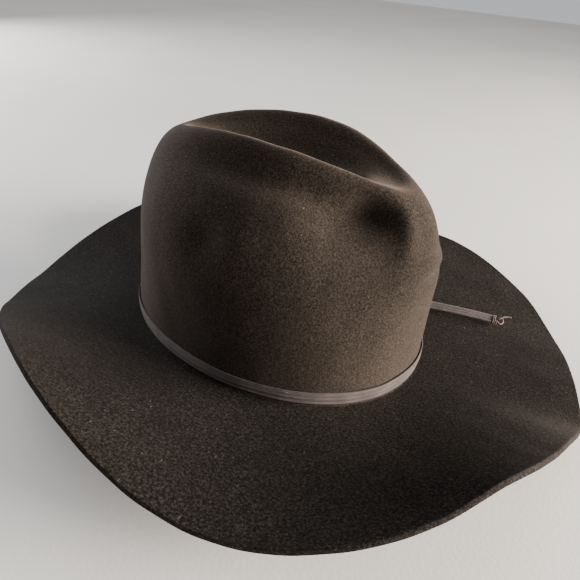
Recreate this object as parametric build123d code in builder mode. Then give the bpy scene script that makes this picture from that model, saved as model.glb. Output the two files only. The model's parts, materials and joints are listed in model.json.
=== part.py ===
from build123d import *
import math
import os

# A creased western felt hat, resting on its brim.  Millimetres, +Z up, +X to the front,
# +Y to the wearer's left.  The origin is under the middle of the hat on the table.
#
# Every soft wall is described by two numbers: the angle round the head, 0 at the front,
# and a step along the felt, from the brim edge in to the crown base and up over the crown.

os.makedirs("parts", exist_ok=True)

# ---------------------------------------------------------------- driving dimensions
STATIONS = 72  # points round each closed section
HEAD_HALF_LENGTH = 104.0  # crown base, outside of the felt
HEAD_HALF_WIDTH = 88.5
HEAD_EGG = 0.09  # how much wider the front half of the base oval is
FELT = 2.4  # felt thickness of the crown
BRIM_FELT = 3.2  # and of the brim
THICKEN_FROM, THICKEN_OVER = 0.03, 0.2  # brim steps where the felt gets thicker
CENTRE_X = -3.2  # middle of the crown base, seen from the middle of the whole hat
CENTRE_Y = -2.82

# Harmonics round the head: (order, cosine, sine).
BRIM_WIDTH = ((0, 98.0, 0.0), (1, 5.5, 3.0), (2, -0.5, 0.0), (3, -4.5, 0.0))
EDGE_HEIGHT = ((0, 26.1, 0.0), (1, -0.6, -4.6), (2, -7.3, -3.7), (3, 8.0, 0.6), (4, -4.4, -8.7))
BASE_HEIGHT = ((0, 15.0, 0.0), (1, -2.3, 0.0), (2, -2.8, 0.0))

# Where the brim edge has been curled by hand: angle, spread, extra width, extra height.
EDGE_CURLS = (
    (14.0, 9.0, 0.0, 1.0),
    (-1.0, 8.0, 4.4, -7.6),
    (-30.0, 12.0, -1.6, 9.0),
    (-50.0, 14.0, 1.2, 4.5),
)

# Crown rings: height at the sides and at the ends, half length, half width, shift along X
# and depth of the two front dents.
CROWN_RINGS = (
    (0.0, 0.0, 104.0, 88.5, 0.0, 0.0),
    (14.0, 14.0, 103.5, 88.0, 0.0, 0.0),
    (45.0, 45.0, 103.5, 87.5, 1.0, 0.5),
    (80.0, 80.0, 104.0, 84.0, 1.5, 5.0),
    (108.0, 108.0, 101.0, 70.0, 1.5, 11.0),
    (127.0, 125.0, 94.0, 50.5, 1.0, 8.0),
    (138.0, 132.0, 82.0, 37.5, 1.0, 2.0),
    (129.0, 129.0, 67.0, 25.0, 0.5, 0.0),
    (118.0, 125.5, 53.0, 12.0, 0.0, 0.0),
    (116.0, 116.0, 40.0, 1.2, 0.0, 0.0),
)
CREASE = len(CROWN_RINGS) - 1  # the step of the last ring, the floor of the centre crease
FRONT_FALL = 0.055  # the crown is lower at the front
END_SAG = 16.0  # and it is lower at both ends, at 100 mm from the middle
LEVEL_BY = 60.0  # above this height the rings no longer follow the curved base
DENT_ANGLE = 42.0
DENT_SPREAD = 24.0
BREAK = 0.016  # the brim step and the crown step where the small round at the brim break starts
BREAK_UP = 0.11

LINING = 0.4  # satin thickness
LINING_GAP = 0.35  # between the felt and the lining
TIP_GAP = 1.2  # the tip lining hangs a little loose
LINING_SEAM_STEP = 4.3  # where the side lining is sewn to the tip lining
LEATHER = 1.1
BAND_INSET = 3.9  # outside of the sweatband, in from the outside of the felt
BAND_LEAN = 0.045  # the sweatband leans inwards as it goes up
BAND_HEIGHT = 52.0
REED_RADIUS = 0.8
REED_DROP = 1.9  # the reed's middle is this far under the crown base
REED_INSET = 4.3
TAPE = 0.3

RIBBON = 0.6  # thickness of one ply of grosgrain ribbon
TAIL_WIDTH = 6.0
TAIL_TILT = 35.0  # how far the tail stands up from lying flat
TAIL_ROOT_ANGLE = 46.5
TAIL_LENGTH = 70.0
TAIL_HEADING = 11.6  # from straight ahead towards the wearer's left
TAIL_CLEARANCE = 3.4  # middle of the tail above the brim
KEEPER_ANGLE = 50.5
CORD_RADIUS = 0.55


# ---------------------------------------------------------------- the felt surface
def series(terms, angle):
    return sum(c * math.cos(n * angle) + s * math.sin(n * angle) for n, c, s in terms)


def base_point(angle, out=0.0, up=0.0):
    """A point on the crown base oval, moved outwards and up."""
    x = HEAD_HALF_LENGTH * math.cos(angle)
    y = HEAD_HALF_WIDTH * math.sin(angle) * (1 + HEAD_EGG * math.cos(angle))
    outwards = Vector(math.cos(angle) / HEAD_HALF_LENGTH, math.sin(angle) / HEAD_HALF_WIDTH).normalized()
    return Vector(x, y, series(BASE_HEIGHT, angle) + up) + outwards * out


def brim_point(angle, step):
    """The top of the brim: step 0 at the crown, 1 at the edge."""
    width = series(BRIM_WIDTH, angle) * step
    rise = series(EDGE_HEIGHT, angle) - series(BASE_HEIGHT, angle)
    rise *= 0.3 * step + 0.7 * step**1.8
    for middle, spread, wider, higher in EDGE_CURLS:
        away = (math.degrees(angle) - middle + 180) % 360 - 180
        curl = math.exp(-((away / spread) ** 2)) * step**3
        width += wider * curl
        rise += higher * curl
    return base_point(angle, width, rise)


def ring_point(index, angle):
    """A point of one crown ring, dented and tilted."""
    side_height, end_height, half_length, half_width, shift, dent = CROWN_RINGS[index]
    height = side_height * math.sin(angle) ** 2 + end_height * math.cos(angle) ** 2
    x = shift + half_length * math.cos(angle)
    y = half_width * math.sin(angle) * (1 + HEAD_EGG * math.cos(angle) * (1 - index / CREASE))
    level = BASE_HEIGHT[0][1]
    z = level + height + (series(BASE_HEIGHT, angle) - level) * max(0, 1 - height / LEVEL_BY)
    tilt = min(1, height / 110)
    z -= FRONT_FALL * x * tilt
    if index < CREASE:
        z -= END_SAG * (x / 100 * tilt) ** 2
    for side in (-1, 1):
        away = (math.degrees(angle) - side * DENT_ANGLE + 180) % 360 - 180
        push = dent * math.exp(-((away / DENT_SPREAD) ** 2))
        x -= 0.35 * push
        y -= side * push
        z -= 0.5 * push
    return Vector(x, y, z)


def crown_point(angle, step):
    """The outside of the crown, smooth through the rings."""
    index = min(int(step), CREASE - 1)
    part = step - index
    before = ring_point(max(index - 1, 0), angle)
    start = ring_point(index, angle)
    end = ring_point(index + 1, angle)
    after = ring_point(min(index + 2, CREASE), angle)
    if index == 0:
        before = start * 2 - end
    if index + 2 > CREASE:
        after = end * 2 - start
    cubic = (end - before) * part
    cubic += (before * 2 - start * 5 + end * 4 - after) * part**2
    cubic += (start * 3 - before - end * 3 + after) * part**3
    return start + cubic * 0.5


def felt_point(angle, step):
    """Top of the felt at a step from -1 at the brim edge through 0 at the base to CREASE."""
    if step <= -BREAK:
        return brim_point(angle, -step)
    if step >= BREAK_UP:
        return crown_point(angle, step)
    low, high = brim_point(angle, BREAK), crown_point(angle, BREAK_UP)
    part = (step + BREAK) / (BREAK + BREAK_UP)
    corner = base_point(angle)
    return low * (1 - part) ** 2 + corner * (2 * part * (1 - part)) + high * part**2


def felt_normal(angle, step):
    """Outward normal of the felt, level across the crease floor."""
    if step > CREASE - 0.01:
        return Vector(FRONT_FALL, 0, 1).normalized()
    turn, walk = 0.01, 0.004
    low = max(step - walk, -1.0)
    around = felt_point(angle + turn, step) - felt_point(angle - turn, step)
    along = felt_point(angle, min(step + walk, CREASE)) - felt_point(angle, low)
    return around.cross(along).normalized()


def felt_thickness(step):
    share = min(1, max(0, (-step - THICKEN_FROM) / THICKEN_OVER))
    return FELT + (BRIM_FELT - FELT) * share * share * (3 - 2 * share)


ANGLES = [math.tau * i / STATIONS for i in range(STATIONS)]


def felt_section(step, depth=0.0):
    """A closed section of the felt, or of the surface that lies depth under it."""
    return [felt_point(a, step) - felt_normal(a, step) * depth for a in ANGLES]


def wall_section(height, inset=0.0):
    """A closed section of the upright wall next to the crown base."""
    return [base_point(a, -inset, height) for a in ANGLES]


def closed_wire(points):
    moved = [point + Vector(CENTRE_X, CENTRE_Y, 0) for point in points]
    return Wire([Edge.make_spline(moved, periodic=True, parameters=[float(i) for i in range(STATIONS + 1)])])


def skin_faces(sections):
    """The strips between neighbouring closed sections."""
    return Shell.make_loft([closed_wire(section) for section in sections], ruled=True).faces()


def skin_solid(outer, inner, capped=False):
    """A thin solid between two stacks of closed sections, open at both ends or capped at the last."""
    faces = skin_faces(outer) + skin_faces(inner) + skin_faces([outer[0], inner[0]])
    if capped:
        faces += [Face(closed_wire(outer[-1])), Face(closed_wire(inner[-1]))]
    else:
        faces += skin_faces([outer[-1], inner[-1]])
    return Solid(Shell(faces))


BRIM_STEPS = (-1.0, -0.93, -0.82, -0.68, -0.54, -0.4, -0.27, -0.17, -0.1, -0.055, -0.03, -BREAK)
WALL_STEPS = (0.2, 0.4, 0.7, 1.0, 1.4, 1.8, 2.2, 2.6, 2.9, 3.2, 3.5, 3.8, 4.05, LINING_SEAM_STEP)
RIDGE_STEPS = (4.55, 4.8, 5.0, 5.2, 5.4, 5.6, 5.75, 5.9, 6.0, 6.1, 6.25, 6.4, 6.6, 6.8)
TOP_STEPS = RIDGE_STEPS + (7.0, 7.3, 7.6, 7.9, 8.2, 8.6, CREASE)
FELT_STEPS = BRIM_STEPS + ((BREAK_UP - BREAK) / 2, BREAK_UP) + WALL_STEPS + TOP_STEPS


def felt_layer(steps, near, far, capped=False):
    """A layer of cloth that follows the felt between two depths under its outside."""
    outer = [felt_section(step, near) for step in steps]
    inner = [felt_section(step, far) for step in steps]
    return skin_solid(outer, inner, capped)


def felt_shell(steps):
    """The felt itself, closed over the top of the crown."""
    outer = [felt_section(step) for step in steps]
    inner = [felt_section(step, felt_thickness(step)) for step in steps]
    return skin_solid(outer, inner, capped=True)


def band_inset(height):
    return BAND_INSET + BAND_LEAN * height


def band_layer(low, high, thickness, inset=0.0):
    """A ring of leather or cloth that lies on the sweatband, inset from its outside."""
    heights = [low + (high - low) * i / 5 for i in range(6)]
    outer = [wall_section(h, band_inset(h) + inset) for h in heights]
    inner = [wall_section(h, band_inset(h) + inset + thickness) for h in heights]
    return skin_solid(outer, inner)


def write(part, name):
    part.label = name
    export_step(part, f"parts/{name}.step")


# ---------------------------------------------------------------- the felt
with BuildPart() as felt_body:
    add(felt_shell(FELT_STEPS))
write(felt_body.part, "felt_body")

# ---------------------------------------------------------------- satin lining
LINING_DEPTH = FELT + LINING_GAP
SIDE_STEPS = WALL_STEPS[2:-1] + (LINING_SEAM_STEP - 0.03,)
TIP_STEPS = (LINING_SEAM_STEP,) + TOP_STEPS

with BuildPart() as lining_side:
    add(felt_layer(SIDE_STEPS, LINING_DEPTH, LINING_DEPTH + LINING))
write(lining_side.part, "lining_side")

with BuildPart() as lining_tip:
    add(felt_layer(TIP_STEPS, FELT + TIP_GAP, FELT + TIP_GAP + LINING, capped=True))
write(lining_tip.part, "lining_tip")

# ---------------------------------------------------------------- sweatband
with BuildPart() as sweatband:
    add(band_layer(-0.6, BAND_HEIGHT, LEATHER))
write(sweatband.part, "sweatband")


def reed_section(turn, radius):
    """A closed section at one turn round the reed: 0 points inwards, 90 up."""
    across, up = radius * math.cos(math.radians(turn)), radius * math.sin(math.radians(turn))
    return wall_section(up - REED_DROP, REED_INSET + across)


def reed_shell(first_turn, last_turn, radius):
    turns = [first_turn + (last_turn - first_turn) * i / 12 for i in range(13)]
    return [reed_section(turn, radius) for turn in turns]


with BuildPart() as sweatband_reed:
    add(Solid(Shell(skin_faces(reed_shell(0, 360, REED_RADIUS)))))
write(sweatband_reed.part, "sweatband_reed")

TAPE_RADIUS = REED_RADIUS + 0.12
with BuildPart() as reed_tape:
    add(skin_solid(reed_shell(165, 375, TAPE_RADIUS + TAPE), reed_shell(165, 375, TAPE_RADIUS)))
write(reed_tape.part, "reed_tape")


def leaning_plane(angle_degrees, height, reach, lean, side):
    """A plane on an upright wall: Y up the wall, Z away from it on the given side."""
    angle = math.radians(angle_degrees)
    origin = base_point(angle, reach, height) + Vector(CENTRE_X, CENTRE_Y, 0)
    along = base_point(angle - 0.01, reach, height) - base_point(angle + 0.01, reach, height)
    upward = base_point(angle, reach + lean, height + 1) - base_point(angle, reach, height)
    along = Vector(along.X, along.Y, 0) * side
    return Plane(origin, x_dir=along, z_dir=along.cross(upward))


def on_band(angle_degrees, height, inset):
    """A plane on the inside of the sweatband, facing the head."""
    return leaning_plane(angle_degrees, height, -band_inset(height) - inset, -BAND_LEAN, 1)


def on_wall(angle_degrees, height, out):
    """A plane on the outside of the crown, facing away."""
    return leaning_plane(angle_degrees, height, out, -0.035, -1)


STITCH_LENGTH, STITCH_WIDTH = 2.6, 0.45
STITCH_COUNT = 96
STITCH_HEIGHT = 3.0
stitch_angles = [360 * (i + 0.5) / STITCH_COUNT for i in range(STITCH_COUNT)]
with BuildPart() as sweatband_stitches:
    for stitch_angle in stitch_angles:
        if abs(stitch_angle - 180) > 9:
            with BuildSketch(on_band(stitch_angle, STITCH_HEIGHT, LEATHER + 0.1)):
                SlotOverall(STITCH_LENGTH, STITCH_WIDTH)
            extrude(amount=0.3)
write(sweatband_stitches.part, "sweatband_stitches")

with BuildPart() as sweatband_seam:
    with BuildSketch(on_band(180, BAND_HEIGHT / 2, LEATHER + 0.2)):
        RectangleRounded(6.0, BAND_HEIGHT - 4, 1.0)
    extrude(amount=0.5)
write(sweatband_seam.part, "sweatband_seam")

BOW_PLANE = on_band(180, 7.0, LEATHER + 1.0)
BOW_RIBBON, BOW_WIDTH = 0.5, 6.0
with BuildPart() as sweatband_bow:
    with BuildSketch(Plane(BOW_PLANE.origin, x_dir=BOW_PLANE.x_dir, z_dir=(0, 0, 1)).offset(-BOW_WIDTH / 2)):
        for side in (-1, 1):
            with Locations((side * 8.2, -3.0)):
                Ellipse(6.6, 2.0)
                Ellipse(6.6 - BOW_RIBBON, 2.0 - BOW_RIBBON, mode=Mode.SUBTRACT)
    extrude(amount=BOW_WIDTH)
write(sweatband_bow.part, "sweatband_bow")

with BuildPart() as sweatband_bow_knot:
    with BuildSketch(BOW_PLANE):
        RectangleRounded(2.8, 5.0, 0.9)
    extrude(amount=3.4)
    fillet(sweatband_bow_knot.faces().sort_by(Axis.X)[-1].edges(), 0.5)
write(sweatband_bow_knot.part, "sweatband_bow_knot")

with BuildPart() as size_label:
    with BuildSketch(on_band(158, 30.0, LEATHER + 0.75)):
        RectangleRounded(16.0, 11.0, 0.8)
    extrude(amount=0.3)
write(size_label.part, "size_label")

# ---------------------------------------------------------------- hatband
with BuildPart() as hatband_ribbon:
    add(felt_layer((0.14, 0.3, 0.5, 0.78), -0.12 - RIBBON, -0.12))
write(hatband_ribbon.part, "hatband_ribbon")

PLY_GAP = 0.12 + RIBBON + 0.1
with BuildPart() as hatband_upper_ply:
    add(felt_layer((0.46, 0.6, 0.74, 0.8), -PLY_GAP - RIBBON, -PLY_GAP))
write(hatband_upper_ply.part, "hatband_upper_ply")

KEEPER_OUT = PLY_GAP + RIBBON + 0.35
keeper_plane = on_wall(KEEPER_ANGLE, 6.6, KEEPER_OUT)
with BuildPart() as band_keeper:
    with BuildSketch(keeper_plane):
        RectangleRounded(8.0, 10.4, 0.8)
    extrude(amount=0.9)
    outer_face = band_keeper.faces().sort_by(Axis(keeper_plane.origin, keeper_plane.z_dir))[-1]
    fillet(outer_face.edges(), 0.3)
write(band_keeper.part, "band_keeper")

TACK_ANGLES = (62.0, 118.0, 180.0, 242.0, 298.0, 355.0)
with BuildPart() as hatband_tacks:
    for tack_angle in TACK_ANGLES:
        with BuildSketch(on_wall(tack_angle, 8.9, PLY_GAP + RIBBON + 0.1)):
            SlotOverall(1.8, 0.5)
        extrude(amount=0.3)
write(hatband_tacks.part, "hatband_tacks")

# ---------------------------------------------------------------- ribbon tail
heading = math.radians(TAIL_HEADING)
root_angle = math.radians(TAIL_ROOT_ANGLE)
brim_at_root = base_point(root_angle, 2.6, TAIL_CLEARANCE)
tail_root = brim_at_root + Vector(CENTRE_X, CENTRE_Y, 0)
tail_direction = Vector(math.cos(heading), math.sin(heading), -0.02)
across = tail_direction.cross(Vector(0, 0, 1)).rotate(Axis((0, 0, 0), tail_direction), TAIL_TILT)
tail_plane = Plane(tail_root, x_dir=across, z_dir=tail_direction)

for name, lift in (("tail_ribbon_outer", 0.34), ("tail_ribbon_inner", -0.34)):
    with BuildPart() as tail_ribbon:
        with BuildSketch(tail_plane):
            with Locations((0, lift)):
                Rectangle(TAIL_WIDTH - 0.4 * (lift < 0), RIBBON)
        extrude(amount=TAIL_LENGTH - 1.5 * (lift < 0))
    write(tail_ribbon.part, name)

knot_centre = tail_root + tail_direction * (TAIL_LENGTH + 1.9)
with BuildPart() as tail_knot:
    with Locations(Location(knot_centre)):
        Sphere(1.6)
    with BuildLine() as cord_path:
        FilletPolyline(
            knot_centre,
            knot_centre + Vector(4.5, 2.5, 0.8),
            knot_centre + Vector(7.5, 8.0, 1.2),
            knot_centre + Vector(7.0, 13.0, 0.6),
            radius=3.0,
        )
    with BuildSketch(cord_path.line ^ 0):
        Circle(CORD_RADIUS)
    sweep()
write(tail_knot.part, "tail_knot")
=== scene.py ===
import json
import math

import bmesh
import bpy
import numpy as np
from mathutils import Matrix, Vector


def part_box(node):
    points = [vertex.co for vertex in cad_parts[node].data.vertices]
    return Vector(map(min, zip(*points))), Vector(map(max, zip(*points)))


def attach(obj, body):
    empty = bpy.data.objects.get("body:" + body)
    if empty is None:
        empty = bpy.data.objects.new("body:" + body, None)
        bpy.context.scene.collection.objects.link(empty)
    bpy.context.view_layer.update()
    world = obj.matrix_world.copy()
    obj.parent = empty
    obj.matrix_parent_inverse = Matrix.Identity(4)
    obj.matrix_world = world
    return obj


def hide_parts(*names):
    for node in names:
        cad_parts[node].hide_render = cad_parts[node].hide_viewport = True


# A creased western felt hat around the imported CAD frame.  The shape is worked out in
# millimetres from the same two numbers as the CAD: the angle round the head, 0 at the front,
# and a step along the felt, from -1 at the brim edge through 0 at the crown base to CREASE.

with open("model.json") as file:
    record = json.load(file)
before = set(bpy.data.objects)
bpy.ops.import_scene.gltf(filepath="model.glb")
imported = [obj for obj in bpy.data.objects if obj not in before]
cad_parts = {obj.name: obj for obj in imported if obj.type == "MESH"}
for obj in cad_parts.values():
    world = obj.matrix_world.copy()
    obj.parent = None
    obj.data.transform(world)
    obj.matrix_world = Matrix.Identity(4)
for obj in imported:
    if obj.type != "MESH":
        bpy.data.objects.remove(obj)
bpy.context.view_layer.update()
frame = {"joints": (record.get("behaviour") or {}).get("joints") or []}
JOINT = frame["joints"][0]

MM = 0.001
UP = np.array((0.0, 0.0, 1.0))


# ---------------------------------------------------------------- the felt surface, as in CAD
HEAD_HALF_LENGTH = 104.0
HEAD_HALF_WIDTH = 88.5
HEAD_EGG = 0.09
FELT = 2.4
BRIM_FELT = 3.2
THICKEN_FROM, THICKEN_OVER = 0.03, 0.2
BRIM_WIDTH = ((0, 98.0, 0.0), (1, 5.5, 3.0), (2, -0.5, 0.0), (3, -4.5, 0.0))
EDGE_HEIGHT = ((0, 26.1, 0.0), (1, -0.6, -4.6), (2, -7.3, -3.7), (3, 8.0, 0.6), (4, -4.4, -8.7))
BASE_HEIGHT = ((0, 15.0, 0.0), (1, -2.3, 0.0), (2, -2.8, 0.0))
EDGE_CURLS = (
    (14.0, 9.0, 0.0, 1.0),
    (-1.0, 8.0, 4.4, -7.6),
    (-30.0, 12.0, -1.6, 9.0),
    (-50.0, 14.0, 1.2, 4.5),
)
CROWN_RINGS = (
    (0.0, 0.0, 104.0, 88.5, 0.0, 0.0),
    (14.0, 14.0, 103.5, 88.0, 0.0, 0.0),
    (45.0, 45.0, 103.5, 87.5, 1.0, 0.5),
    (80.0, 80.0, 104.0, 84.0, 1.5, 5.0),
    (108.0, 108.0, 101.0, 70.0, 1.5, 11.0),
    (127.0, 125.0, 94.0, 50.5, 1.0, 8.0),
    (138.0, 132.0, 82.0, 37.5, 1.0, 2.0),
    (129.0, 129.0, 67.0, 25.0, 0.5, 0.0),
    (118.0, 125.5, 53.0, 12.0, 0.0, 0.0),
    (116.0, 116.0, 40.0, 1.2, 0.0, 0.0),
)
CREASE = len(CROWN_RINGS) - 1
FRONT_FALL = 0.055
END_SAG = 16.0
LEVEL_BY = 60.0
DENT_ANGLE = 42.0
DENT_SPREAD = 24.0
BREAK = 0.016
BREAK_UP = 0.11

# What hands have pressed into the felt: angle, step, spread in degrees, spread in steps, depth in mm.
HAND_MARKS = (
    (-43.0, 4.90, 9.0, 0.42, 9.0),
    (-51.0, 4.55, 9.0, 0.45, 5.5),
    (-59.0, 4.25, 9.0, 0.45, 2.5),
    (-66.0, 4.90, 13.0, 0.36, 4.0),
    (-25.0, 4.60, 6.5, 0.80, -2.6),
    (-92.0, 4.80, 34.0, 0.42, 4.2),
    (42.0, 4.75, 11.0, 0.55, 5.0),
    (88.0, 4.75, 34.0, 0.42, 2.0),
    (-98.0, 3.25, 7.0, 0.30, 3.4),
    (-86.0, 3.55, 6.0, 0.30, -1.2),
    (-104.0, 1.50, 13.0, 0.70, 1.6),
    (-4.0, 3.12, 13.0, 0.13, 1.7),
    (-2.0, 3.50, 15.0, 0.22, -1.5),
)


def turns(count):
    return np.arange(count) * math.tau / count


def series(terms, angle):
    return sum(c * np.cos(n * angle) + s * np.sin(n * angle) for n, c, s in terms)


def degrees_from(angle, middle):
    return (np.degrees(angle) - middle + 180) % 360 - 180


def oval(angle):
    """The crown base outline and its outward directions."""
    angle = np.asarray(angle, float)
    x = HEAD_HALF_LENGTH * np.cos(angle)
    y = HEAD_HALF_WIDTH * np.sin(angle) * (1 + HEAD_EGG * np.cos(angle))
    outward = np.stack([np.cos(angle) / HEAD_HALF_LENGTH, np.sin(angle) / HEAD_HALF_WIDTH, 0 * x], -1)
    outward /= np.linalg.norm(outward, axis=-1, keepdims=True)
    return np.stack([x, y, series(BASE_HEIGHT, angle)], -1), outward


def crown_ring(index, angle):
    side_height, end_height, half_length, half_width, shift, dent = CROWN_RINGS[index]
    height = side_height * np.sin(angle) ** 2 + end_height * np.cos(angle) ** 2
    x = shift + half_length * np.cos(angle)
    y = half_width * np.sin(angle) * (1 + HEAD_EGG * np.cos(angle) * (1 - index / CREASE))
    level = BASE_HEIGHT[0][1]
    z = level + height + (series(BASE_HEIGHT, angle) - level) * np.maximum(0, 1 - height / LEVEL_BY)
    tilt = np.minimum(1, height / 110)
    z = z - FRONT_FALL * x * tilt
    if index < CREASE:
        z = z - END_SAG * (x / 100 * tilt) ** 2
    for side in (-1, 1):
        push = dent * np.exp(-((degrees_from(angle, side * DENT_ANGLE) / DENT_SPREAD) ** 2))
        x, y, z = x - 0.35 * push, y - side * push, z - 0.5 * push
    return np.stack([x, y, z], -1)


def felt_rows(angle, steps):
    """Points of the felt's outside: one row for each step, one column for each angle."""
    corner, outward = oval(angle)
    rings = [crown_ring(i, angle) for i in range(CREASE + 1)]
    rings = [rings[0] * 2 - rings[1], *rings, rings[-1] * 2 - rings[-2]]
    width = series(BRIM_WIDTH, angle)
    rise = series(EDGE_HEIGHT, angle) - series(BASE_HEIGHT, angle)

    def brim(share):
        out, up = width * share, rise * (0.3 * share + 0.7 * share**1.8)
        for middle, spread, wider, higher in EDGE_CURLS:
            curl = np.exp(-((degrees_from(angle, middle) / spread) ** 2)) * share**3
            out, up = out + wider * curl, up + higher * curl
        return corner + outward * out[:, None] + UP * up[:, None]

    def crown(step):
        index = min(int(step), CREASE - 1)
        part = step - index
        before, start, end, after = rings[index : index + 4]
        return start + 0.5 * (
            (end - before) * part
            + (before * 2 - start * 5 + end * 4 - after) * part**2
            + (start * 3 - before - end * 3 + after) * part**3
        )

    rows = []
    for step in steps:
        if step <= -BREAK:
            rows.append(brim(-step))
        elif step >= BREAK_UP:
            rows.append(crown(step))
        else:
            part = (step + BREAK) / (BREAK + BREAK_UP)
            rows.append(brim(BREAK) * (1 - part) ** 2 + corner * 2 * part * (1 - part)
                        + crown(BREAK_UP) * part**2)
    return np.array(rows)


def felt_thickness(steps):
    share = np.clip((-steps - THICKEN_FROM) / THICKEN_OVER, 0, 1)
    return FELT + (BRIM_FELT - FELT) * share * share * (3 - 2 * share)


def row_normals(rows, closed_top):
    around = np.roll(rows, -1, axis=1) - np.roll(rows, 1, axis=1)
    along = np.gradient(rows, axis=0)
    normals = np.cross(around, along)
    if closed_top:
        normals[-1] = (FRONT_FALL, 0, 1)
    return normals / np.linalg.norm(normals, axis=-1, keepdims=True)


def waves(points, wavelength, seed):
    """Smooth irregular waves from about -1 to 1, the same every run."""
    random = np.random.default_rng(seed)
    total = np.zeros(points.shape[:-1])
    for _ in range(8):
        direction = random.normal(size=3)
        direction *= math.tau / (wavelength * random.uniform(0.7, 1.4) * np.linalg.norm(direction))
        total += np.sin(points @ direction + random.uniform(0, math.tau))
    return total / 4


def felt_surface(angle, steps):
    """Points and normals of the felt as worn: the CAD's shape with its hand marks and waves."""
    steps = np.asarray(steps, float)
    rows = felt_rows(angle, steps)
    closed_top = steps[-1] >= CREASE
    normals = row_normals(rows, closed_top)
    push = 0.45 * waves(rows, 62, 3) + 0.16 * waves(rows, 23, 4)
    step_grid = steps[:, None]
    for mark_angle, mark_step, spread, step_spread, depth in HAND_MARKS:
        away = degrees_from(angle, mark_angle)[None, :] / spread
        push = push - depth * np.exp(-(away**2) - ((step_grid - mark_step) / step_spread) ** 2)
    push *= np.clip((CREASE - step_grid) / 2, 0, 1) * np.clip(np.abs(step_grid) / 0.8, 0.25, 1)
    rows = rows + normals * push[..., None]
    return rows, row_normals(rows, closed_top)


def wall(angle, height, out):
    """A point beside the upright wall at the crown base: out is negative inside the hat."""
    corner, outward = oval(angle)
    return corner + outward * np.asarray(out)[..., None] + UP * np.asarray(height)[..., None]


def hat_centre():
    """Where the middle of the crown base is in the row frame, in mm, from the CAD felt's box."""
    low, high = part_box("felt_body")
    edge = felt_rows(turns(360), [-1.0])[0]
    middle = (np.array(low) + np.array(high)) / (2 * MM) - (edge.min(0) + edge.max(0)) / 2
    return np.array((middle[0], middle[1], 0.0))


CENTRE = hat_centre()


# ---------------------------------------------------------------- camera
def add_camera():
    azimuth, elevation, roll = (math.radians(a) for a in (25.09, 27.79, 4.98))
    target, distance = Vector((CENTRE + (4.4, -5.8, 66.5)) * MM), 0.4079
    back = Vector((math.sin(azimuth) * math.cos(elevation), -math.cos(azimuth) * math.cos(elevation),
                   math.sin(elevation)))
    level = Vector((math.cos(azimuth), math.sin(azimuth), 0))
    upward = back.cross(level)
    right = level * math.cos(roll) + upward * math.sin(roll)
    top = upward * math.cos(roll) - level * math.sin(roll)
    data = bpy.data.cameras.new("camera")
    data.sensor_width, data.lens = 36.0, 37.4
    data.shift_x, data.shift_y = 0.010, -0.0583
    data.clip_start, data.clip_end = 0.01, 20.0
    camera = bpy.data.objects.new("camera", data)
    bpy.context.scene.collection.objects.link(camera)
    turn = Matrix((right, top, back)).transposed().to_4x4()
    camera.matrix_world = Matrix.Translation(target + back * distance) @ turn
    bpy.context.scene.camera = camera


add_camera()


# ---------------------------------------------------------------- meshes
def cap(ring, flip):
    """Faces that close a ring whose first and middle points are its two ends."""
    count, faces = len(ring), []
    for j in range(count // 2):
        opposite = ring[count - j - 1], ring[(count - j) % count]
        corners = list(dict.fromkeys((ring[j], ring[j + 1], *opposite)))
        faces.append(corners[::-1] if flip else corners)
    return faces


def mesh_of(name, stacks, wrap=False, caps=False, ribs_along_rows=False, row_slots=None):
    """One mesh from stacks of closed rings, (rows, columns, 3) in mm in the hat's own frame.

    wrap joins each stack's last ring to its first, and caps closes both ends.  The UV map holds
    lengths in mm, round the rings first, or along the stack first with ribs_along_rows."""
    points, faces, uvs, slots, total = [], [], [], [], 0
    for rows in stacks:
        rows = np.asarray(rows, float)
        count, columns = rows.shape[:2]
        index = total + np.arange(count * columns).reshape(count, columns)
        total += count * columns
        looped = np.vstack([rows, rows[:1]]) if wrap else rows
        index_rows = np.vstack([index, index[:1]]) if wrap else index
        right = np.roll(index_rows, -1, axis=1)
        quads = np.stack([index_rows[:-1], right[:-1], right[1:], index_rows[1:]], -1)
        ring = np.vstack([rows[count // 2], rows[count // 2][:1]])
        across = np.concatenate([[0], np.cumsum(np.linalg.norm(np.diff(ring, axis=0), axis=1))])
        side = looped[:, columns // 4]
        along = np.concatenate([[0], np.cumsum(np.linalg.norm(np.diff(side, axis=0), axis=1))])
        u, v = np.meshgrid(across, along)
        corner_uv = np.stack([np.stack([u[:-1, :-1], u[:-1, 1:], u[1:, 1:], u[1:, :-1]], -1),
                              np.stack([v[:-1, :-1], v[:-1, 1:], v[1:, 1:], v[1:, :-1]], -1)], -1)
        if ribs_along_rows:
            corner_uv = corner_uv[..., ::-1]
        points.append(rows.reshape(-1, 3))
        faces += quads.reshape(-1, 4).tolist()
        uvs.append(corner_uv.reshape(-1, 2))
        slots += [slot for slot in (row_slots or [0] * len(quads)) for _ in range(columns)]
        if caps:
            ends = cap(index[0].tolist(), True) + cap(index[-1].tolist(), False)
            faces += ends
            uvs.append(np.zeros((sum(len(f) for f in ends), 2)))
            slots += [0] * len(ends)
    mesh = bpy.data.meshes.new(name)
    mesh.from_pydata(((np.vstack(points) + CENTRE) * MM).tolist(), [], faces)
    mesh.uv_layers.new(name="lengths").data.foreach_set("uv", np.vstack(uvs).ravel())
    mesh.polygons.foreach_set("material_index", slots)
    mesh.polygons.foreach_set("use_smooth", [True] * len(faces))
    builder = bmesh.new()
    builder.from_mesh(mesh)
    bmesh.ops.recalc_face_normals(builder, faces=builder.faces)
    builder.to_mesh(mesh)
    builder.free()
    return mesh


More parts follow.
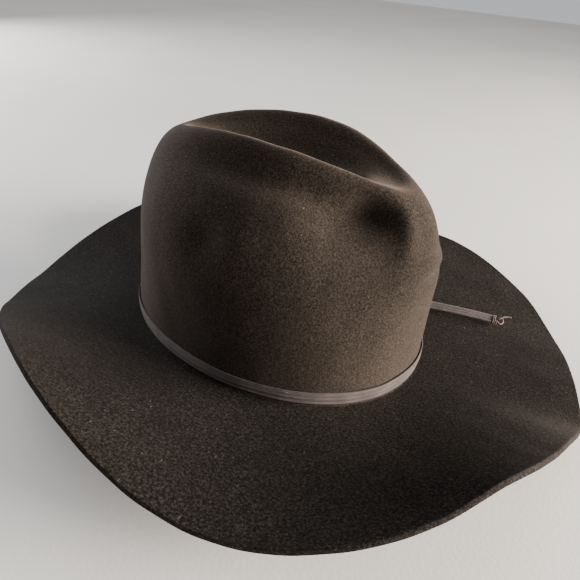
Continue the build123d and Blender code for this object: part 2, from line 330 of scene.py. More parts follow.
def piece(name, stacks, materials, body, slot, *nodes, **shape):
    """A visible piece made from stacks of rings, which rides on a body and stands for CAD nodes."""
    mesh = mesh_of(name, stacks, **shape)
    thing = bpy.data.objects.new(name, mesh)
    bpy.context.scene.collection.objects.link(thing)
    for material in materials:
        mesh.materials.append(material)
    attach(thing, body)
    if nodes:
        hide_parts(*nodes)
    return thing


def eased(count):
    """Numbers from 0 to 1 that come closer together at both ends."""
    return (1 - np.cos(np.linspace(0, math.pi, count))) / 2


def edge_round(share, sharpness=0.3):
    """1 in the middle of a strip, falling to 0 in a round at its two edges."""
    return np.sqrt(np.maximum(0, 4 * share * (1 - share))) ** sharpness


def layer(points, normals, outer, inner):
    """A closed stack of rings between two offsets of a surface: outside up, then inside down."""
    outer, inner = (np.asarray(o, float)[:, None, None] if np.ndim(o) == 1 else o[..., None]
                    for o in (outer, inner))
    return np.concatenate([points + normals * outer, (points + normals * inner)[::-1]])


def strip_profile(width, thickness, count=12, sharpness=0.3):
    """A closed rounded section, from one edge over the top and back underneath."""
    share = np.linspace(0, 2, 2 * count, endpoint=False)
    top = share < 1
    local = np.where(top, share, share - 1)
    across = np.where(top, 1, -1) * np.cos(math.pi * local) * width / 2
    height = np.where(top, 1, -1) * np.sin(math.pi * local) ** sharpness * thickness / 2
    return across, height


def tube_rows(path, radius, sides=8, twist=0.0):
    """Rings round a line of points; twist is the pitch in mm of two plies wound together."""
    path = np.asarray(path, float)
    along = np.gradient(path, axis=0)
    along /= np.linalg.norm(along, axis=1, keepdims=True)
    across = np.cross(along[0], UP)
    if np.linalg.norm(across) < 0.1:
        across = np.cross(along[0], (1.0, 0.0, 0.0))
    walked, rows = 0.0, []
    for i, centre in enumerate(path):
        across = across - along[i] * np.dot(across, along[i])
        across /= np.linalg.norm(across)
        other = np.cross(along[i], across)
        if i:
            walked += np.linalg.norm(centre - path[i - 1])
        turn = turns(sides)
        size = np.full(sides, radius)
        if twist:
            size = radius * (0.78 + 0.26 * np.abs(np.cos(turn - math.pi * walked / twist)))
        spokes = np.cos(turn)[:, None] * across + np.sin(turn)[:, None] * other
        rows.append(centre + spokes * size[:, None])
    return np.array(rows)


def smooth_path(corners, per_run=10):
    """A smooth line through a few points."""
    corners = np.asarray(corners, float)
    padded = np.vstack([corners[0] * 2 - corners[1], corners, corners[-1] * 2 - corners[-2]])
    line = []
    for i in range(len(corners) - 1):
        before, start, end, after = padded[i : i + 4]
        for part in np.arange(per_run) / per_run:
            line.append(start + 0.5 * ((end - before) * part
                                       + (before * 2 - start * 5 + end * 4 - after) * part**2
                                       + (start * 3 - before - end * 3 + after) * part**3))
    line.append(corners[-1])
    return np.array(line)


# ---------------------------------------------------------------- materials
class Shader:
    """A Principled material and short ways to add nodes to it."""

    def __init__(self, name, roughness, **sockets):
        self.material = bpy.data.materials.new(name)
        self.material.use_nodes = True
        self.tree = self.material.node_tree
        self.surface = self.tree.nodes["Principled BSDF"]
        self.surface.inputs["Roughness"].default_value = roughness
        for socket, value in sockets.items():
            self.surface.inputs[socket.replace("_", " ")].default_value = value
        self.place = self.node("ShaderNodeTexCoord").outputs["Object"]

    def node(self, kind, inputs=(), **settings):
        made = self.tree.nodes.new(kind)
        for key, value in settings.items():
            setattr(made, key, value)
        for key, value in dict(inputs).items():
            if isinstance(value, bpy.types.NodeSocket):
                self.tree.links.new(value, made.inputs[key])
            else:
                made.inputs[key].default_value = value
        return made

    def stretched(self, scale, turn=(0, 0, 0), source=None):
        return self.node("ShaderNodeMapping", {"Vector": source or self.place, "Scale": scale,
                                               "Rotation": turn}).outputs["Vector"]

    def noise(self, scale, detail=2.0, rough=0.5, source=None):
        return self.node("ShaderNodeTexNoise", {"Vector": source or self.place, "Scale": scale,
                                                "Detail": detail, "Roughness": rough}).outputs["Fac"]

    def cells(self, scale, feature="F1", source=None):
        return self.node("ShaderNodeTexVoronoi", {"Vector": source or self.place, "Scale": scale},
                         feature=feature).outputs["Distance"]

    def ramp(self, value, *stops):
        """Colours or greys at positions: (0.3, (r, g, b)), (0.7, 0.9), ..."""
        made = self.node("ShaderNodeValToRGB", {"Fac": value})
        ramp = made.color_ramp
        while len(ramp.elements) < len(stops):
            ramp.elements.new(0.5)
        for element, (position, colour) in zip(ramp.elements, stops):
            element.position = position
            element.color = (*(colour if isinstance(colour, tuple) else (colour,) * 3), 1)
        return made.outputs["Color"]

    def mix(self, factor, first, second, blend="MIX"):
        made = self.node("ShaderNodeMix", data_type="RGBA", blend_type=blend)
        for slot, value in ((0, factor), (6, first), (7, second)):
            if isinstance(value, bpy.types.NodeSocket):
                self.tree.links.new(value, made.inputs[slot])
            else:
                made.inputs[slot].default_value = (*value, 1) if isinstance(value, tuple) else value
        return made.outputs[2]

    def math(self, operation, first, second=0.0):
        made = self.node("ShaderNodeMath", {0: first, 1: second}, operation=operation)
        return made.outputs[0]

    def length_waves(self, pitch, axis=0):
        """Ridges across the length that the UV map holds, one every pitch mm."""
        lengths = self.node("ShaderNodeUVMap", uv_map="lengths").outputs["UV"]
        value = self.node("ShaderNodeSeparateXYZ", {"Vector": lengths}).outputs[axis]
        return self.math("ABSOLUTE", self.math("SINE", self.math("MULTIPLY", value, math.pi / pitch)))

    def colour(self, socket):
        self.tree.links.new(socket, self.surface.inputs["Base Color"])

    def roughness(self, socket):
        self.tree.links.new(socket, self.surface.inputs["Roughness"])

    def bump(self, *layers):
        """Bumps on top of each other: (height socket, distance in metres)."""
        normal = None
        for height, distance in layers:
            inputs = {"Height": height, "Distance": distance, "Strength": 1.0}
            if normal:
                inputs["Normal"] = normal
            normal = self.node("ShaderNodeBump", inputs).outputs["Normal"]
        self.tree.links.new(normal, self.surface.inputs["Normal"])


def felt_material(name, dark, light, fleck, sheen, grain=0.5):
    """Napped fur felt: cloudy nap, short fibres and a few pale flecks.  A lower grain is stronger."""
    shader = Shader(name, 0.96, Sheen_Weight=sheen, Sheen_Roughness=0.5,
                    Sheen_Tint=(0.60, 0.46, 0.36, 1.0), Specular_IOR_Level=0.08)
    clouds = shader.noise(15.0, 3.0, 0.55)
    nap = shader.noise(660.0, 4.0, 0.6)
    fibres = shader.noise(880.0, 3.0, 0.75)
    strands = shader.noise(1500.0, 2.0, 0.6, shader.stretched((0.5, 1.0, 1.0), (0.4, 0.3, 0.9)))
    base = shader.mix(shader.ramp(clouds, (0.34, 0.0), (0.66, 1.0)), dark, light)
    base = shader.mix(1.0, base, shader.ramp(nap, (0.40, grain), (0.62, 1.0)), "MULTIPLY")
    base = shader.mix(0.9, base, shader.ramp(fibres, (0.40, 0.10), (0.60, 1.0)), "MULTIPLY")
    for scale, turn in ((150.0, (0.3, 0.9, 0.2)), (190.0, (1.2, 0.1, 0.8))):
        spots = shader.cells(scale, source=shader.stretched((1.0, 0.38, 1.0), turn))
        base = shader.mix(shader.ramp(spots, (0.03, 0.45), (0.075, 0.0)), base, fleck)
    shader.colour(base)
    shader.bump((nap, 0.00025), (fibres, 0.0002), (strands, 0.0001))
    return shader.material


def grosgrain_material(name, dark, light, groove_shade_pitch=None):
    """Ribbed ribbon: fine ribs across its length, and, when a pitch in mm is given, a painted shadow line
    along it at that pitch for the shade in its grooves.
    """
    shader = Shader(name, 0.72, Sheen_Weight=0.35, Sheen_Roughness=0.4, Sheen_Tint=(0.8, 0.7, 0.66, 1.0),
                    Specular_IOR_Level=0.3)
    ribs = shader.length_waves(0.62)
    warp = shader.length_waves(0.34, 1)
    wear = shader.noise(95.0, 3.0, 0.6)
    base = shader.mix(shader.ramp(wear, (0.35, 0.0), (0.65, 1.0)), dark, light)
    base = shader.mix(0.8, base, shader.ramp(ribs, (0.0, 0.5), (0.55, 1.0)), "MULTIPLY")
    base = shader.mix(0.3, base, shader.ramp(warp, (0.0, 0.6), (0.6, 1.0)), "MULTIPLY")
    if groove_shade_pitch:
        # painted shade: dark lines along the ribbon that stand in for the shade in the grooves between its
        # plies and ridges
        line = shader.ramp(shader.length_waves(groove_shade_pitch, 1), (0.12, 0.32), (0.42, 1.0))
        base = shader.mix(1.0, base, line, "MULTIPLY")
    shader.colour(base)
    shader.bump((ribs, 0.00016), (warp, 0.00005), (shader.noise(1800.0, 2.0), 0.00005))
    return shader.material


def satin_material(name, dark, light):
    """Lining satin: a bright float on one side of a fine twill, softly creased, with painted shade in the
    hollows of the creases.
    """
    shader = Shader(name, 0.34, Sheen_Weight=0.25, Sheen_Roughness=0.3, Anisotropic=0.5,
                    Specular_IOR_Level=0.55)
    weave = shader.noise(2600.0, 2.0, 0.5, shader.stretched((1.0, 1.0, 0.12)))
    creases_and_shade = shader.noise(36.0, 3.0, 0.5)
    # painted shade: the colour goes darker where the crease bump is low
    base = shader.mix(shader.ramp(creases_and_shade, (0.35, 0.0), (0.65, 1.0)), dark, light)
    base = shader.mix(0.35, base, shader.ramp(weave, (0.3, 0.55), (0.7, 1.0)), "MULTIPLY")
    shader.colour(base)
    shader.roughness(shader.ramp(weave, (0.3, 0.42), (0.7, 0.28)))
    shader.bump((creases_and_shade, 0.0008), (weave, 0.00004))
    return shader.material


def leather_material(name, dark, light):
    """Fine grained leather, rubbed paler in soft patches."""
    shader = Shader(name, 0.46, Specular_IOR_Level=0.45, Coat_Weight=0.08, Coat_Roughness=0.35)
    grain = shader.cells(900.0, "DISTANCE_TO_EDGE")
    pores = shader.noise(2200.0, 2.0, 0.6)
    rubbed = shader.noise(48.0, 4.0, 0.6)
    base = shader.mix(shader.ramp(rubbed, (0.36, 0.0), (0.68, 1.0)), dark, light)
    base = shader.mix(0.6, base, shader.ramp(grain, (0.0, 0.4), (0.16, 1.0)), "MULTIPLY")
    shader.colour(base)
    shader.roughness(shader.ramp(rubbed, (0.3, 0.56), (0.7, 0.38)))
    shader.bump((shader.ramp(grain, (0.0, 0.0), (0.2, 1.0)), 0.00016), (pores, 0.00004))
    return shader.material


def thread_material(name, dark, light, sheen=0.3):
    """Twisted sewing thread or cord."""
    shader = Shader(name, 0.68, Sheen_Weight=sheen, Sheen_Roughness=0.4)
    fluff = shader.noise(1600.0, 3.0, 0.65)
    base = shader.mix(shader.ramp(shader.noise(260.0, 2.0), (0.35, 0.0), (0.65, 1.0)), dark, light)
    base = shader.mix(0.6, base, shader.ramp(fluff, (0.3, 0.45), (0.7, 1.0)), "MULTIPLY")
    shader.colour(base)
    shader.bump((fluff, 0.00012))
    return shader.material


def woven_material(name, dark, light):
    """Plain woven tape: over and under at about 0.4 mm."""
    shader = Shader(name, 0.82, Sheen_Weight=0.2, Sheen_Roughness=0.5, Specular_IOR_Level=0.25)
    weave = shader.math("MULTIPLY", shader.length_waves(0.42), shader.length_waves(0.42, 1))
    dirt = shader.noise(130.0, 3.0, 0.6)
    base = shader.mix(shader.ramp(dirt, (0.35, 0.0), (0.7, 1.0)), dark, light)
    base = shader.mix(0.6, base, shader.ramp(weave, (0.0, 0.5), (0.5, 1.0)), "MULTIPLY")
    shader.colour(base)
    shader.bump((weave, 0.00012), (dirt, 0.00005))
    return shader.material


def floor_material():
    shader = Shader("studio_floor", 0.62, Specular_IOR_Level=0.3)
    clouds = shader.noise(3.0, 3.0, 0.5)
    shader.colour(shader.ramp(clouds, (0.3, (0.62, 0.59, 0.55)), (0.7, (0.68, 0.65, 0.61))))
    shader.bump((shader.noise(400.0, 2.0), 0.00008))
    return shader.material


NAP = felt_material("felt_nap", (0.0265, 0.0194, 0.0147), (0.0415, 0.0308, 0.0230),
                    (0.13, 0.105, 0.083), 0.16, grain=0.64)
# painted shade: the brim is the same felt as the crown, painted darker and with a stronger dark nap to
# stand in for the shade on it
BRIM_NAP_PAINTED_SHADE = felt_material("felt_brim_nap_painted_shade", (0.0210, 0.0168, 0.0138), (0.0318, 0.0257, 0.0207),
                         (0.11, 0.095, 0.08), 0.03, grain=0.16)
CUT_EDGE = felt_material("felt_cut_edge", (0.020, 0.016, 0.013), (0.036, 0.028, 0.023),
                         (0.14, 0.12, 0.10), 0.05, grain=0.3)
TAUPE = ((0.052, 0.037, 0.034), (0.086, 0.062, 0.056))
GROSGRAIN = grosgrain_material("ribbon_taupe", *TAUPE)
# the band and tail copies carry painted groove shade lines
GROSGRAIN_BAND_GROOVE_SHADE = grosgrain_material("ribbon_taupe_band_groove_shade", *TAUPE, groove_shade_pitch=2.4)
GROSGRAIN_TAIL_GROOVE_SHADE = grosgrain_material("ribbon_taupe_tail_groove_shade", *TAUPE, groove_shade_pitch=2.15)
# painted shadow: a dark taupe on the lower edge rows and the back of each band ply, standing in for the
# shade where the plies overlap
RIBBON_FOLD_SHADOW = thread_material("ribbon_fold_painted_shadow", (0.030, 0.020, 0.018), (0.055, 0.040, 0.036), 0.05)
SATIN = satin_material("lining_satin", (0.30, 0.22, 0.15), (0.42, 0.32, 0.22))
LEATHER_BROWN = leather_material("sweatband_leather", (0.075, 0.036, 0.018), (0.125, 0.064, 0.034))
DARK_THREAD = thread_material("thread_brown", (0.045, 0.028, 0.020), (0.085, 0.055, 0.040))
PALE_THREAD = thread_material("thread_tan", (0.22, 0.15, 0.09), (0.33, 0.24, 0.15))
CORD_RED = thread_material("cord_red_brown", (0.085, 0.038, 0.026), (0.150, 0.076, 0.054), 0.3)
TAPE_CLOTH = woven_material("reed_tape_cotton", (0.055, 0.040, 0.030), (0.095, 0.070, 0.052))
LABEL_CLOTH = woven_material("size_label_cloth", (0.55, 0.50, 0.42), (0.68, 0.63, 0.54))
REED_PLASTIC = leather_material("reed_plastic", (0.30, 0.26, 0.20), (0.36, 0.31, 0.25))

# ---------------------------------------------------------------- felt
FELT_COLUMNS = 450
BRIM_STEPS = -np.concatenate([[1.0, 0.993], np.linspace(0.98, 0.1, 30), np.linspace(0.085, BREAK, 6)])
WALL_STEPS = np.concatenate([np.linspace(-BREAK, BREAK_UP, 8)[1:], np.linspace(0.2, 4.5, 30)])
TOP_STEPS = np.linspace(4.58, CREASE, 48)
INNER_TOP_STEPS = np.linspace(4.7, CREASE, 26)
ROUGHNESS_AT_EDGE = 0.14
EDGE_PROFILE = ((0.28, -0.9), (0.45, -0.55), (0.5, 0.0), (0.45, 0.55), (0.28, 0.9))  # mm out, share up
TABLE_GAP = 0.02


def felt_skin():
    """The rings of the felt and their material slots: 0 crown, 1 cut edge, 2 brim, which is the crown's
    felt painted darker as shade.
    """
    angle = turns(FELT_COLUMNS)
    outer, outer_normals = felt_surface(angle, np.concatenate([BRIM_STEPS, WALL_STEPS, TOP_STEPS]))
    inner_steps = np.concatenate([BRIM_STEPS, WALL_STEPS[::2], INNER_TOP_STEPS])
    inner, inner_normals = felt_surface(angle, inner_steps)
    inner = inner - inner_normals * felt_thickness(inner_steps)[:, None, None]
    edge, edge_normal = outer[0] - outer_normals[0] * BRIM_FELT / 2, outer_normals[0]
    outward = outer[0] - outer[1]
    outward /= np.linalg.norm(outward, axis=1, keepdims=True)
    rough = ROUGHNESS_AT_EDGE * (waves(edge, 5.5, 8) + 0.6 * waves(edge, 2.9, 9))[:, None]
    side = [edge + outward * (out + rough * (1 - abs(up))) + edge_normal * up * BRIM_FELT / 2
            for out, up in EDGE_PROFILE]
    rows = np.concatenate([inner[::-1], side, outer])
    rows[..., 2] = np.maximum(rows[..., 2], TABLE_GAP)
    brim = len(BRIM_STEPS) + 3
    slots = [0] * (len(inner) - brim) + [2] * (brim - 1) + [1] * (len(side) + 2)
    slots += [2] * (brim - 2) + [0] * (len(outer) - brim)
    return rows, slots


felt_rings, felt_slots = felt_skin()
piece("felt_hat", [felt_rings], (NAP, CUT_EDGE, BRIM_NAP_PAINTED_SHADE), "hat", "felt", "felt_body", caps=True,
      row_slots=felt_slots)

# ---------------------------------------------------------------- lining
LINING = 0.4
LINING_DEPTH = FELT + 0.35
TIP_DEPTH = FELT + 1.2
LINING_SEAM_STEP = 4.3
LINING_COLUMNS = 300
SIDE_ROOM = ((0.7, 2.2, 3.4, 4.27), (0.1, 0.5, 1.3, 0.5))  # steps, and how deep the folds may be there
TIP_ROOM = ((4.3, 4.8, 6.0, 7.0, 9.0), (0.1, 1.0, 1.0, 0.5, 0.1))


def gathers(points, angle, room):
    """Small soft folds that only reach inwards, by up to room."""
    folds = 0.5 + 0.5 * np.sin(angle * 46 + 2.2 * waves(points, 70, 11))
    return room * (0.55 * folds + 0.45 * (0.5 + 0.5 * np.clip(waves(points, 34, 12), -1, 1)))


def lining_rows(steps, depth, room):
    angle = turns(LINING_COLUMNS)
    points, normals = felt_surface(angle, steps)
    soft = gathers(points, angle[None, :], np.interp(steps, *room)[:, None])
    outer, inner = -depth - soft, -depth - LINING - soft
    if steps[-1] < CREASE:
        return layer(points, normals, outer, inner)
    inside = points + normals * inner[..., None]
    return np.concatenate([inside[::-1], points + normals * outer[..., None]])


side_rows = lining_rows(np.linspace(0.7, LINING_SEAM_STEP - 0.03, 40), LINING_DEPTH, SIDE_ROOM)
tip_rows = lining_rows(np.linspace(LINING_SEAM_STEP, CREASE, 44), TIP_DEPTH, TIP_ROOM)
lining_side = piece("lining_side_satin", [side_rows], (SATIN,), "hat", "satin", "lining_side", wrap=True)
lining_tip = piece("lining_tip_satin", [tip_rows], (SATIN,), "hat", "satin", "lining_tip", caps=True)

# ---------------------------------------------------------------- sweatband
LEATHER = 1.1
BAND_INSET = 3.9
BAND_LEAN = 0.045
BAND_HEIGHT = 52.0
BAND_BOTTOM = -0.6
BAND_COLUMNS = 420


def band_inset(height):
    return BAND_INSET + BAND_LEAN * height


def sweatband_rows():
    angle = turns(BAND_COLUMNS)
    share = eased(30)
    heights = BAND_BOTTOM + (BAND_HEIGHT - BAND_BOTTOM) * share
    flat = wall(angle, np.zeros(BAND_COLUMNS), np.zeros(BAND_COLUMNS))
    lift = 0.5 * waves(flat, 60, 21)
    lean = 0.7 * (0.5 + 0.5 * np.clip(waves(flat, 75, 22), -1, 1))
    rows = []
    for height, part in zip(heights, share):
        inset = band_inset(height) + LEATHER / 2 + lean * part**3
        rows.append(wall(angle, height + lift * part**4, -inset))
    points = np.array(rows)
    normals = np.broadcast_to(oval(angle)[1], points.shape)
    thick = edge_round(share, 0.4) * LEATHER / 2
    return layer(points, normals, thick, -thick)


piece("sweatband_leather", [sweatband_rows()], (LEATHER_BROWN,), "hat", "leather", "sweatband", wrap=True)

REED_RADIUS = 0.8
REED_DROP = 1.9
REED_INSET = 4.3
TAPE_RADIUS = REED_RADIUS + 0.12
TAPE = 0.3


def reed_rows(first, last, radius, count):
    angle = turns(BAND_COLUMNS)
    rows = []
    for turn in np.radians(np.linspace(first, last, count)):
        up, inset = radius * math.sin(turn) - REED_DROP, REED_INSET + radius * math.cos(turn)
        rows.append(wall(angle, np.full(BAND_COLUMNS, up), np.full(BAND_COLUMNS, -inset)))
    return np.array(rows)


piece("sweatband_reed_rod", [reed_rows(360, 30, REED_RADIUS, 12)], (REED_PLASTIC,), "hat", "reed",
      "sweatband_reed", wrap=True)
tape_outside = reed_rows(375, 165, TAPE_RADIUS + TAPE, 14)
tape_inside = reed_rows(165, 375, TAPE_RADIUS, 14)
piece("reed_tape_cloth", [np.concatenate([tape_outside, tape_inside])], (TAPE_CLOTH,), "hat", "tape",
      "reed_tape", wrap=True)


def wall_patch(middle, width, low, high, out, thickness, stations=14, corner=10):
    """Rings of a thin rounded patch on the upright wall, width mm long round the head.

    out gives how far outside the wall the middle of the patch is at each height."""
    corner_at, _ = oval(math.radians(middle))
    ahead, _ = oval(math.radians(middle) + 0.01)
    per_mm = 0.01 / np.linalg.norm((ahead - corner_at)[:2])
    rows = []
    for part in np.cos(np.linspace(math.pi, 0, stations)):
        tall = (1 - min(0.9999, abs(part)) ** corner) ** (1 / corner)
        across, lift = strip_profile((high - low) * tall, thickness * tall**0.5)
        angle = np.full(len(across), math.radians(middle) + part * width / 2 * per_mm)
        heights = (low + high) / 2 + across
        rows.append(wall(angle, heights, out(heights) + lift))
    return np.array(rows)


def thread_arc(start, end, lift, radius, outward, sides=6, count=7):
    """A stitch that rises out of the cloth between two points."""
    part = np.linspace(0, 1, count)[:, None]
    path = start * (1 - part) + end * part + outward * lift * np.sin(math.pi * part)
    return tube_rows(path, radius, sides)


# stitches through the leather, the back seam with its zigzag thread, and the label
STITCH_COUNT = 96
STITCH_HEIGHT = 3.0
STITCH_HALF = 0.0135  # half a stitch's length, in radians
SEAM_CLEAR = 9  # no stitches this near the back seam, in degrees
ZIGZAGS = 29
stitches = []
for number in range(STITCH_COUNT):
    middle = math.tau * (number + 0.5) / STITCH_COUNT
    if abs(math.degrees(middle) - 180) > SEAM_CLEAR:
        ends = wall(np.array((middle - STITCH_HALF, middle + STITCH_HALF)), np.full(2, STITCH_HEIGHT),
                    np.full(2, -band_inset(STITCH_HEIGHT) - LEATHER - 0.05))
        inward = -oval(middle)[1]
        stitches.append(thread_arc(ends[0], ends[1], 0.3, 0.2, inward))
piece("sweatband_stitching", stitches, (PALE_THREAD,), "hat", "thread", "sweatband_stitches", caps=True)


def seam_out(height):
    return -band_inset(height) - LEATHER - 0.5


def label_out(height):
    return -band_inset(height) - LEATHER - 0.9


seam = wall_patch(180, 6.0, 2.0, BAND_HEIGHT - 2.0, seam_out, 0.42, corner=6)
piece("sweatband_seam_tape", [seam], (LEATHER_BROWN,), "hat", "leather", "sweatband_seam", caps=True)
zigzag_heights = np.linspace(5.0, BAND_HEIGHT - 5.0, ZIGZAGS)
zigzag_angles = math.pi + 0.019 * np.where(np.arange(ZIGZAGS) % 2, 1, -1)
zigzag = smooth_path(wall(zigzag_angles, zigzag_heights, seam_out(zigzag_heights) - 0.25), 4)
piece("sweatband_seam_thread", [tube_rows(zigzag, 0.17, 6)], (PALE_THREAD,), "hat", "thread", caps=True)
label = wall_patch(158, 16.0, 24.5, 35.5, label_out, 0.3)
piece("size_label_cloth", [label], (LABEL_CLOTH,), "hat", "label", "size_label", caps=True)


# the little bow that ties the ends of the band's draw thread
def node_middle(node):
    """The middle and the half sizes of a CAD node's box, in mm in the hat's own frame."""
    low, high = (np.array(corner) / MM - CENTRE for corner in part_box(node))
    return (low + high) / 2, (high - low) / 2


def bow_loop_rows():
    middle, half = node_middle("sweatband_bow")
    loops = []
    for side in (-1, 1):
        loop = []
        for turn in turns(40):
            reach = half[1] * (0.53 + 0.45 * math.cos(turn))
            pinch = 0.62 + 0.38 * min(1, reach / (0.5 * half[1]))
            across, lift = strip_profile(2 * half[2] * pinch, 0.5, 8)
            centre = middle + (half[0] * 0.82 * math.sin(turn), side * reach, 0.5 * math.sin(2 * turn))
            normal = np.array((math.sin(turn), side * math.cos(turn) * 0.5, 0))
            normal /= np.linalg.norm(normal)
            loop.append(centre + UP * across[:, None] + normal * lift[:, None])
        loops.append(np.array(loop))
    return loops


def bow_wrap_rows():
    middle, half = node_middle("sweatband_bow_knot")
    turn = turns(32)
    square_x = np.sign(np.cos(turn)) * np.abs(np.cos(turn)) ** 0.6
    square_y = np.sign(np.sin(turn)) * np.abs(np.sin(turn)) ** 0.6
    rows = []
    for part in np.cos(np.linspace(math.pi, 0, 16)):
        size = (1 - abs(part) ** 5 * 0.999) ** 0.2
        waist = size * (1 - 0.08 * math.cos(part * math.pi))
        height = np.full(len(turn), half[2] * part)
        rows.append(middle + np.stack([half[0] * waist * square_x, half[1] * waist * square_y, height], -1))
    return rows


piece("sweatband_bow_loops", bow_loop_rows(), (GROSGRAIN,), "hat", "bow", "sweatband_bow", wrap=True,
      ribs_along_rows=True)
piece("sweatband_bow_wrap", [bow_wrap_rows()], (GROSGRAIN,), "hat", "bow", "sweatband_bow_knot", caps=True)

# ---------------------------------------------------------------- hatband
RIBBON = 0.6
PLY_GAP = 0.12 + RIBBON + 0.1
RIBBON_COLUMNS = 720
PLY_ROWS = 18
PAINTED_SHADOW_ROWS = 2
PLY_SLOTS = [1] * PAINTED_SHADOW_ROWS + [0] * (PLY_ROWS - PAINTED_SHADOW_ROWS) + [1] * PLY_ROWS  # 1 is painted shadow: the lower fold rows and the back of each ply
SELVEDGE = 0.12
PLY_SEED = 31


def ply_rows(low, high, offset):
    """One ply of the band between two steps, with its two selvedges a little raised."""
    angle = turns(RIBBON_COLUMNS)
    share = eased(PLY_ROWS)
    points, normals = felt_surface(angle, low + (high - low) * share)
    slack = 0.12 * (1 + waves(points, 40, PLY_SEED))
    half = edge_round(share, 0.35)[:, None] * RIBBON / 2
    selvedge = SELVEDGE * np.exp(-(((np.minimum(share, 1 - share) - 0.1) / 0.06) ** 2))[:, None]
    outer = offset + RIBBON / 2 + half + selvedge + slack
    inner = offset + RIBBON / 2 - half + slack
    return layer(points, normals, outer, inner)


for name, node, low, high, offset in (("hatband_lower_ply", "hatband_ribbon", 0.14, 0.78, 0.12),
                                      ("hatband_top_ply", "hatband_upper_ply", 0.45, 0.81, PLY_GAP)):
    piece(name, [ply_rows(low, high, offset)], (GROSGRAIN_BAND_GROOVE_SHADE, RIBBON_FOLD_SHADOW), "hat", "ribbon", node,
          wrap=True, row_slots=PLY_SLOTS)


def keeper_out(height):
    return PLY_GAP + RIBBON + 0.75 - 0.035 * height


keeper = wall_patch(50.5, 8.0, 1.4, 11.8, keeper_out, 0.8)
piece("band_keeper_loop", [keeper], (GROSGRAIN,), "hat", "ribbon", "band_keeper", caps=True)

TACK_ANGLES = (62.0, 118.0, 180.0, 242.0, 298.0, 355.0)
TACK_HEIGHT = 8.9
tacks = []
for tack in TACK_ANGLES:
    ends = wall(np.radians((tack - 0.55, tack + 0.55)), np.full(2, TACK_HEIGHT),
                np.full(2, PLY_GAP + RIBBON + 0.02))
    tacks.append(thread_arc(ends[0], ends[1], 0.3, 0.2, oval(math.radians(tack))[1]))
piece("hatband_tack_threads", tacks, (DARK_THREAD,), "hat", "thread", "hatband_tacks", caps=True)

# ---------------------------------------------------------------- ribbon tail, on its hinge
TAIL_LENGTH = 70.0
TAIL_WIDTH = 6.0
TAIL_TILT = math.radians(35.0)
HINGE = np.array(JOINT["pos_m"]) / MM - CENTRE
AXIS = np.array(JOINT["axis"])
HEADING = np.array((-AXIS[1], AXIS[0], -0.02))
HEADING /= np.linalg.norm(HEADING)
LEVEL = np.cross(HEADING, UP)
LEVEL /= np.linalg.norm(LEVEL)
RAISED = np.cross(LEVEL, HEADING)
TAIL_ACROSS = LEVEL * math.cos(TAIL_TILT) - RAISED * math.sin(TAIL_TILT)
TAIL_OUT = np.cross(TAIL_ACROSS, HEADING)


def tail_rows(width, length, lift, slant, ridges):
    """A ribbon tail with lengthwise ridges, bowed a little and cut off at a slant."""
    across, height = strip_profile(width, RIBBON, 22)
    height = height + 0.26 * np.abs(np.cos(across / width * math.pi * ridges)) * (height > 0)
    rows = []
    for part in np.linspace(0, 1, 60):
        run = part * (length + slant * across / width)
        bow = 1.1 * np.sin(math.pi * part) - 0.25 * math.sin(5 * part)
        rows.append(HINGE + HEADING * run[:, None] + TAIL_ACROSS * across[:, None]
                    + TAIL_OUT * (lift + height)[:, None] + RAISED * bow)
    return np.array(rows)


tail_top = tail_rows(TAIL_WIDTH, TAIL_LENGTH, 0.36, 1.6, 3)
tail_under = tail_rows(TAIL_WIDTH - 0.4, TAIL_LENGTH - 1.5, -0.36, 1.2, 2)
piece("tail_ribbon_top", [tail_top], (GROSGRAIN_TAIL_GROOVE_SHADE,), "tail", "ribbon", "tail_ribbon_outer", caps=True,
      ribs_along_rows=True)
piece("tail_ribbon_under", [tail_under], (GROSGRAIN,), "tail", "ribbon", "tail_ribbon_inner", caps=True,
      ribs_along_rows=True)

# The cord's loop and free end after its wraps: mm past the ribbons' end, across them and out from them.
CORD_LOOP = (
    (0.9, 1.6, 1.2), (2.4, 2.7, 1.0), (4.3, 2.0, 0.7), (4.9, -0.3, 0.7), (3.6, -2.2, 1.0), (1.9, -1.9, 1.5),
    (1.5, -0.4, 1.9), (2.7, -1.2, 2.2), (5.0, -2.9, 1.9), (7.8, -3.9, 1.5), (10.4, -4.3, 1.3),
)


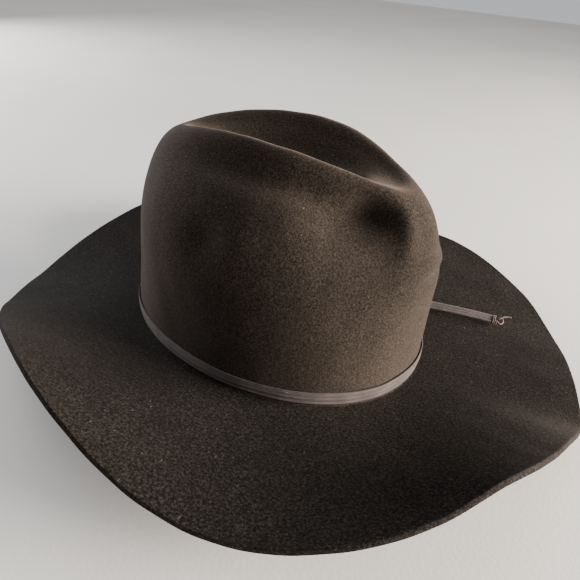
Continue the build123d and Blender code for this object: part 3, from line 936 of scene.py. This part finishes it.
def knot_rows():
    """The cord: two wraps round the end of the ribbons, a loop, and a free end."""
    end = HINGE + HEADING * TAIL_LENGTH
    wraps = []
    for turn in np.linspace(0, 2.2 * math.tau, 26):
        wraps.append(end - HEADING * (2.6 - 0.2 * turn) + TAIL_ACROSS * 3.3 * math.cos(turn)
                     + TAIL_OUT * 1.35 * math.sin(turn))
    loop = [end + HEADING * past + TAIL_ACROSS * across + TAIL_OUT * out for past, across, out in CORD_LOOP]
    return tube_rows(smooth_path(wraps + loop, 5), 0.52, 10, twist=1.6)


piece("tail_cord_knot", [knot_rows()], (CORD_RED,), "tail", "cord", "tail_knot", caps=True)


# ---------------------------------------------------------------- floor and light
FLOOR_HALF = 3.0
FLOOR_LINES = 13
LIGHT_AIM = (0.0, 0.0, 0.07)


def add_floor():
    lines = np.linspace(-FLOOR_HALF, FLOOR_HALF, FLOOR_LINES)
    points = [(x, y, 0.0) for y in lines for x in lines]
    cells = range(FLOOR_LINES - 1)
    corners = [row * FLOOR_LINES + column for row in cells for column in cells]
    faces = [(i, i + 1, i + FLOOR_LINES + 1, i + FLOOR_LINES) for i in corners]
    mesh = bpy.data.meshes.new("studio_floor")
    mesh.from_pydata(points, [], faces)
    mesh.materials.append(floor_material())
    floor = bpy.data.objects.new("studio_floor", mesh)
    bpy.context.scene.collection.objects.link(floor)


def add_light(name, place, size, watts, colour):
    """A rectangular soft light, aimed at the middle of the hat."""
    data = bpy.data.lights.new(name, "AREA")
    data.shape = "RECTANGLE"
    data.size, data.size_y = size
    data.energy, data.color = watts, colour
    light = bpy.data.objects.new(name, data)
    bpy.context.scene.collection.objects.link(light)
    light.location = place
    light.rotation_euler = (Vector(place) - Vector(LIGHT_AIM)).to_track_quat("Z", "Y").to_euler()


def add_world():
    world = bpy.data.worlds.new("studio_air")
    bpy.context.scene.world = world
    world.use_nodes = True
    background = world.node_tree.nodes["Background"]
    background.inputs["Color"].default_value = (0.93, 0.95, 1.0, 1.0)
    background.inputs["Strength"].default_value = 0.60


add_floor()
add_light("key", (1.45, 0.42, 0.34), (1.1, 0.5), 170.0, (1.0, 0.94, 0.86))
add_light("fill", (-1.38, 0.25, 0.42), (1.0, 0.6), 28.0, (0.95, 0.96, 1.0))
add_world()
